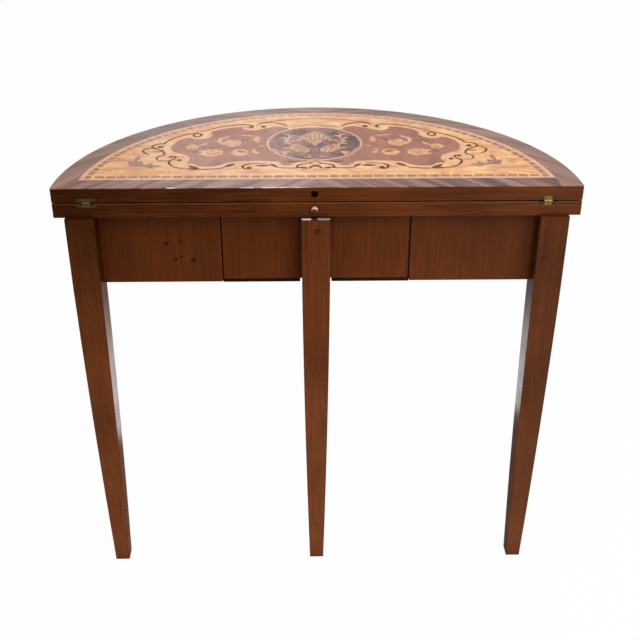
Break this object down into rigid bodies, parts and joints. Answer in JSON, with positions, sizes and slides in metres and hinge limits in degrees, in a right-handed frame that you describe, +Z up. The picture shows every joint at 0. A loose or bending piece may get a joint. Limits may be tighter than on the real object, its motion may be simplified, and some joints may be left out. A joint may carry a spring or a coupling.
{
  "type": "demilune table",
  "caption": "Half-round fold-over card table with an inlaid top on brass hinges, tapered square legs and a middle rear leg that pulls out on a shallow drawer.",
  "frame": {"origin": "on the floor, under the middle of the closed table's box", "axes": "+Z up, +X along the straight side, +Y from the straight side towards the curved front"},
  "size_m": [0.82, 0.416, 0.75],
  "materials": {
    "walnut": "aged satin polish, upright grain",
    "leaf_wood": "aged satin polish",
    "edge_wood": "worn satin polish, grain along the edge",
    "crossband": "gloss polish, grain across the band",
    "stringing": "gloss polish, pale line with a dashed row",
    "field": "gloss polish, pale fruitwood",
    "cartouche": "gloss polish, rosy veneer",
    "medallion": "gloss polish, dark veneer",
    "peg_wood": "bare pale wood",
    "oak": "bare secondary wood",
    "hinge_brass": "aged brass",
    "baize": "close felted cloth",
    "pad_felt": "pale felt"
  },
  "bodies": {
    "frame": {"lower_leaf": "leaf_wood", "lower_edge_strip": "edge_wood", "lower_baize": "baize", "alignment_peg": "peg_wood", "rear_leg_left": "walnut", "rear_leg_right": "walnut", "front_leg": "walnut", "curved_apron_left": "walnut", "curved_apron_right": "walnut", "back_rail_left": "walnut", "back_rail_right": "walnut", "drawer_guide_left": "oak", "drawer_guide_right": "oak", "drawer_runner_left": "oak", "drawer_runner_right": "oak", "drawer_stops": "oak", "drawer_bearer": "walnut", "corner_blocks": "oak", "hinge_lower_left": "hinge_brass", "hinge_lower_right": "hinge_brass", "hinge_pin_left": "hinge_brass", "hinge_pin_right": "hinge_brass"},
    "leaf": {"upper_leaf": "leaf_wood", "upper_edge_strip": "edge_wood", "upper_baize": "baize", "crossband_arc": "crossband", "crossband_straight": "crossband", "stringing": "stringing", "field_veneer": "field", "cartouche_veneer": "cartouche", "medallion_ring": "stringing", "medallion_veneer": "medallion", "hinge_upper_left": "hinge_brass", "hinge_upper_right": "hinge_brass"},
    "drawer": {"drawer_front": "walnut", "gate_leg": "walnut", "gate_leg_pad": "pad_felt", "drawer_side_left": "oak", "drawer_side_right": "oak", "drawer_back": "oak", "drawer_bottom": "oak"}
  },
  "joints": [
    {"name": "leaf_fold", "type": "hinge", "parent": "frame", "child": "leaf", "pos_m": [0, -0.2024, 0.72575], "axis": [1, 0, 0], "range_deg": [0, 180]},
    {"name": "drawer_slide", "type": "slide", "parent": "frame", "child": "drawer", "axis": [0, -1, 0], "range_m": [0, 0.2]}
  ]
}
